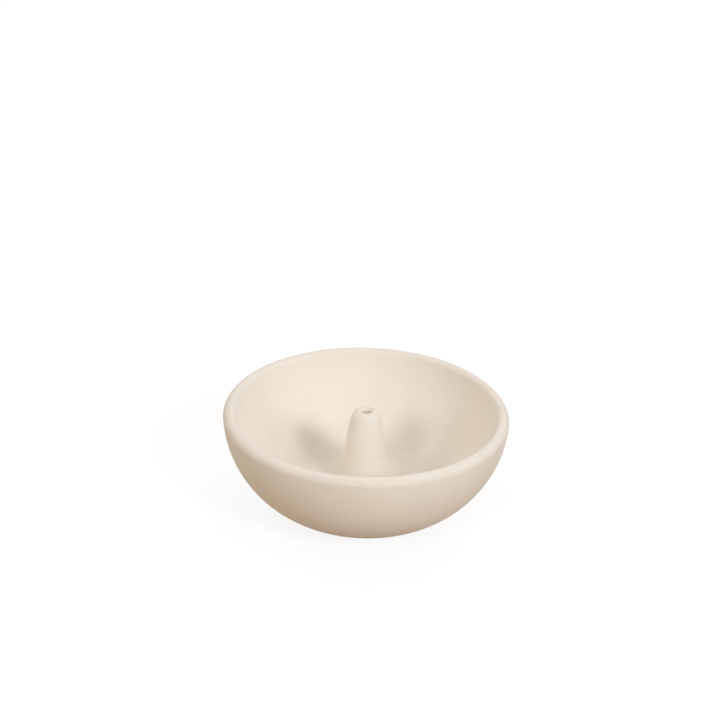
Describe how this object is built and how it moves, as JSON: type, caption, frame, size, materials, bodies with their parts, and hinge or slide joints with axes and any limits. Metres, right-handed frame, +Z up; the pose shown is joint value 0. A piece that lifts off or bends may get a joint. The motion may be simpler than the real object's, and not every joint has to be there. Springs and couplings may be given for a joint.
{
  "type": "incense stick holder",
  "caption": "Small round matte ceramic dish with a tapered post in the middle that holds an incense stick upright over the ash trough around it.",
  "frame": {"origin": "centre of the foot, on the surface that the dish stands on", "axes": "+Z up along the axis of the dish and the stick hole; the dish is round, so +X and +Y are free"},
  "size_m": [0.08, 0.08, 0.03],
  "materials": {
    "cream_ceramic": "matte, fine grained",
    "fired_slip": "matte, smoothed flush"
  },
  "bodies": {
    "root": {"dish": "cream_ceramic", "joining_slip": "fired_slip", "stick_post": "cream_ceramic"}
  },
  "joints": []
}
